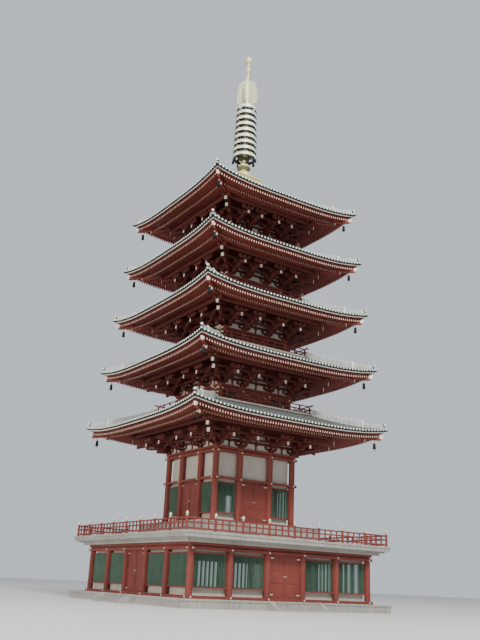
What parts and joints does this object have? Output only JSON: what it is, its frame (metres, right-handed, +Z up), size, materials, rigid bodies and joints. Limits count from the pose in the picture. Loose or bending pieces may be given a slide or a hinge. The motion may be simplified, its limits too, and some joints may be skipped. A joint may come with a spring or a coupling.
{
  "type": "half-size scale model of a five-storey pagoda on a podium hall",
  "caption": "Tall square tower with stacked tiled roofs, red timber brackets and balconies, a gilded finial, and a podium hall below.",
  "frame": {"origin": "centre of the plinth's underside, at ground level", "axes": "+Z up along the tower's mast, -Y out of the front side, +X to the right of the front"},
  "size_m": [10.52, 10.52, 26.66],
  "materials": {
    "stone": "weathered grey cut stone, matte",
    "vermilion_timber": "timber painted red, aged and matte",
    "plaster": "off-white lime plaster, matte",
    "grey_tile": "fired grey clay tile, slightly smoked",
    "gilt_bronze": "gilded bronze, dulled by weather",
    "pale_paint": "timber ends and edges painted pale cream, matte",
    "green_lattice": "window bars painted green, matte",
    "bell_bronze": "bronze gone dark blue-green",
    "brass_fitting": "pale gilded fittings on rails and doors"
  },
  "bodies": {
    "root": {"podium_plinth": "stone", "podium_walls": "plaster", "podium_frame": "vermilion_timber", "podium_terrace": "stone", "podium_railing": "vermilion_timber", "tower_platform": "stone", "walls_1": "plaster", "frame_1": "vermilion_timber", "brackets_1": "vermilion_timber", "eave_purlin_1": "vermilion_timber", "eaves_1": "vermilion_timber", "roof_1": "grey_tile", "balcony_2": "vermilion_timber", "balcony_railing_2": "vermilion_timber", "walls_2": "plaster", "frame_2": "vermilion_timber", "brackets_2": "vermilion_timber", "eave_purlin_2": "vermilion_timber", "eaves_2": "vermilion_timber", "roof_2": "grey_tile", "balcony_3": "vermilion_timber", "balcony_railing_3": "vermilion_timber", "walls_3": "plaster", "frame_3": "vermilion_timber", "brackets_3": "vermilion_timber", "eave_purlin_3": "vermilion_timber", "eaves_3": "vermilion_timber", "roof_3": "grey_tile", "balcony_4": "vermilion_timber", "balcony_railing_4": "vermilion_timber", "walls_4": "plaster", "frame_4": "vermilion_timber", "brackets_4": "vermilion_timber", "eave_purlin_4": "vermilion_timber", "eaves_4": "vermilion_timber", "roof_4": "grey_tile", "balcony_5": "vermilion_timber", "balcony_railing_5": "vermilion_timber", "walls_5": "plaster", "frame_5": "vermilion_timber", "brackets_5": "vermilion_timber", "eave_purlin_5": "vermilion_timber", "eaves_5": "vermilion_timber", "roof_5": "grey_tile", "dew_basin": "gilt_bronze", "inverted_bowl": "gilt_bronze", "lotus_flower": "gilt_bronze", "mast_and_rings": "gilt_bronze", "water_flame": "gilt_bronze", "dragon_wheel": "gilt_bronze", "finial_jewel": "gilt_bronze"}
  },
  "joints": []
}
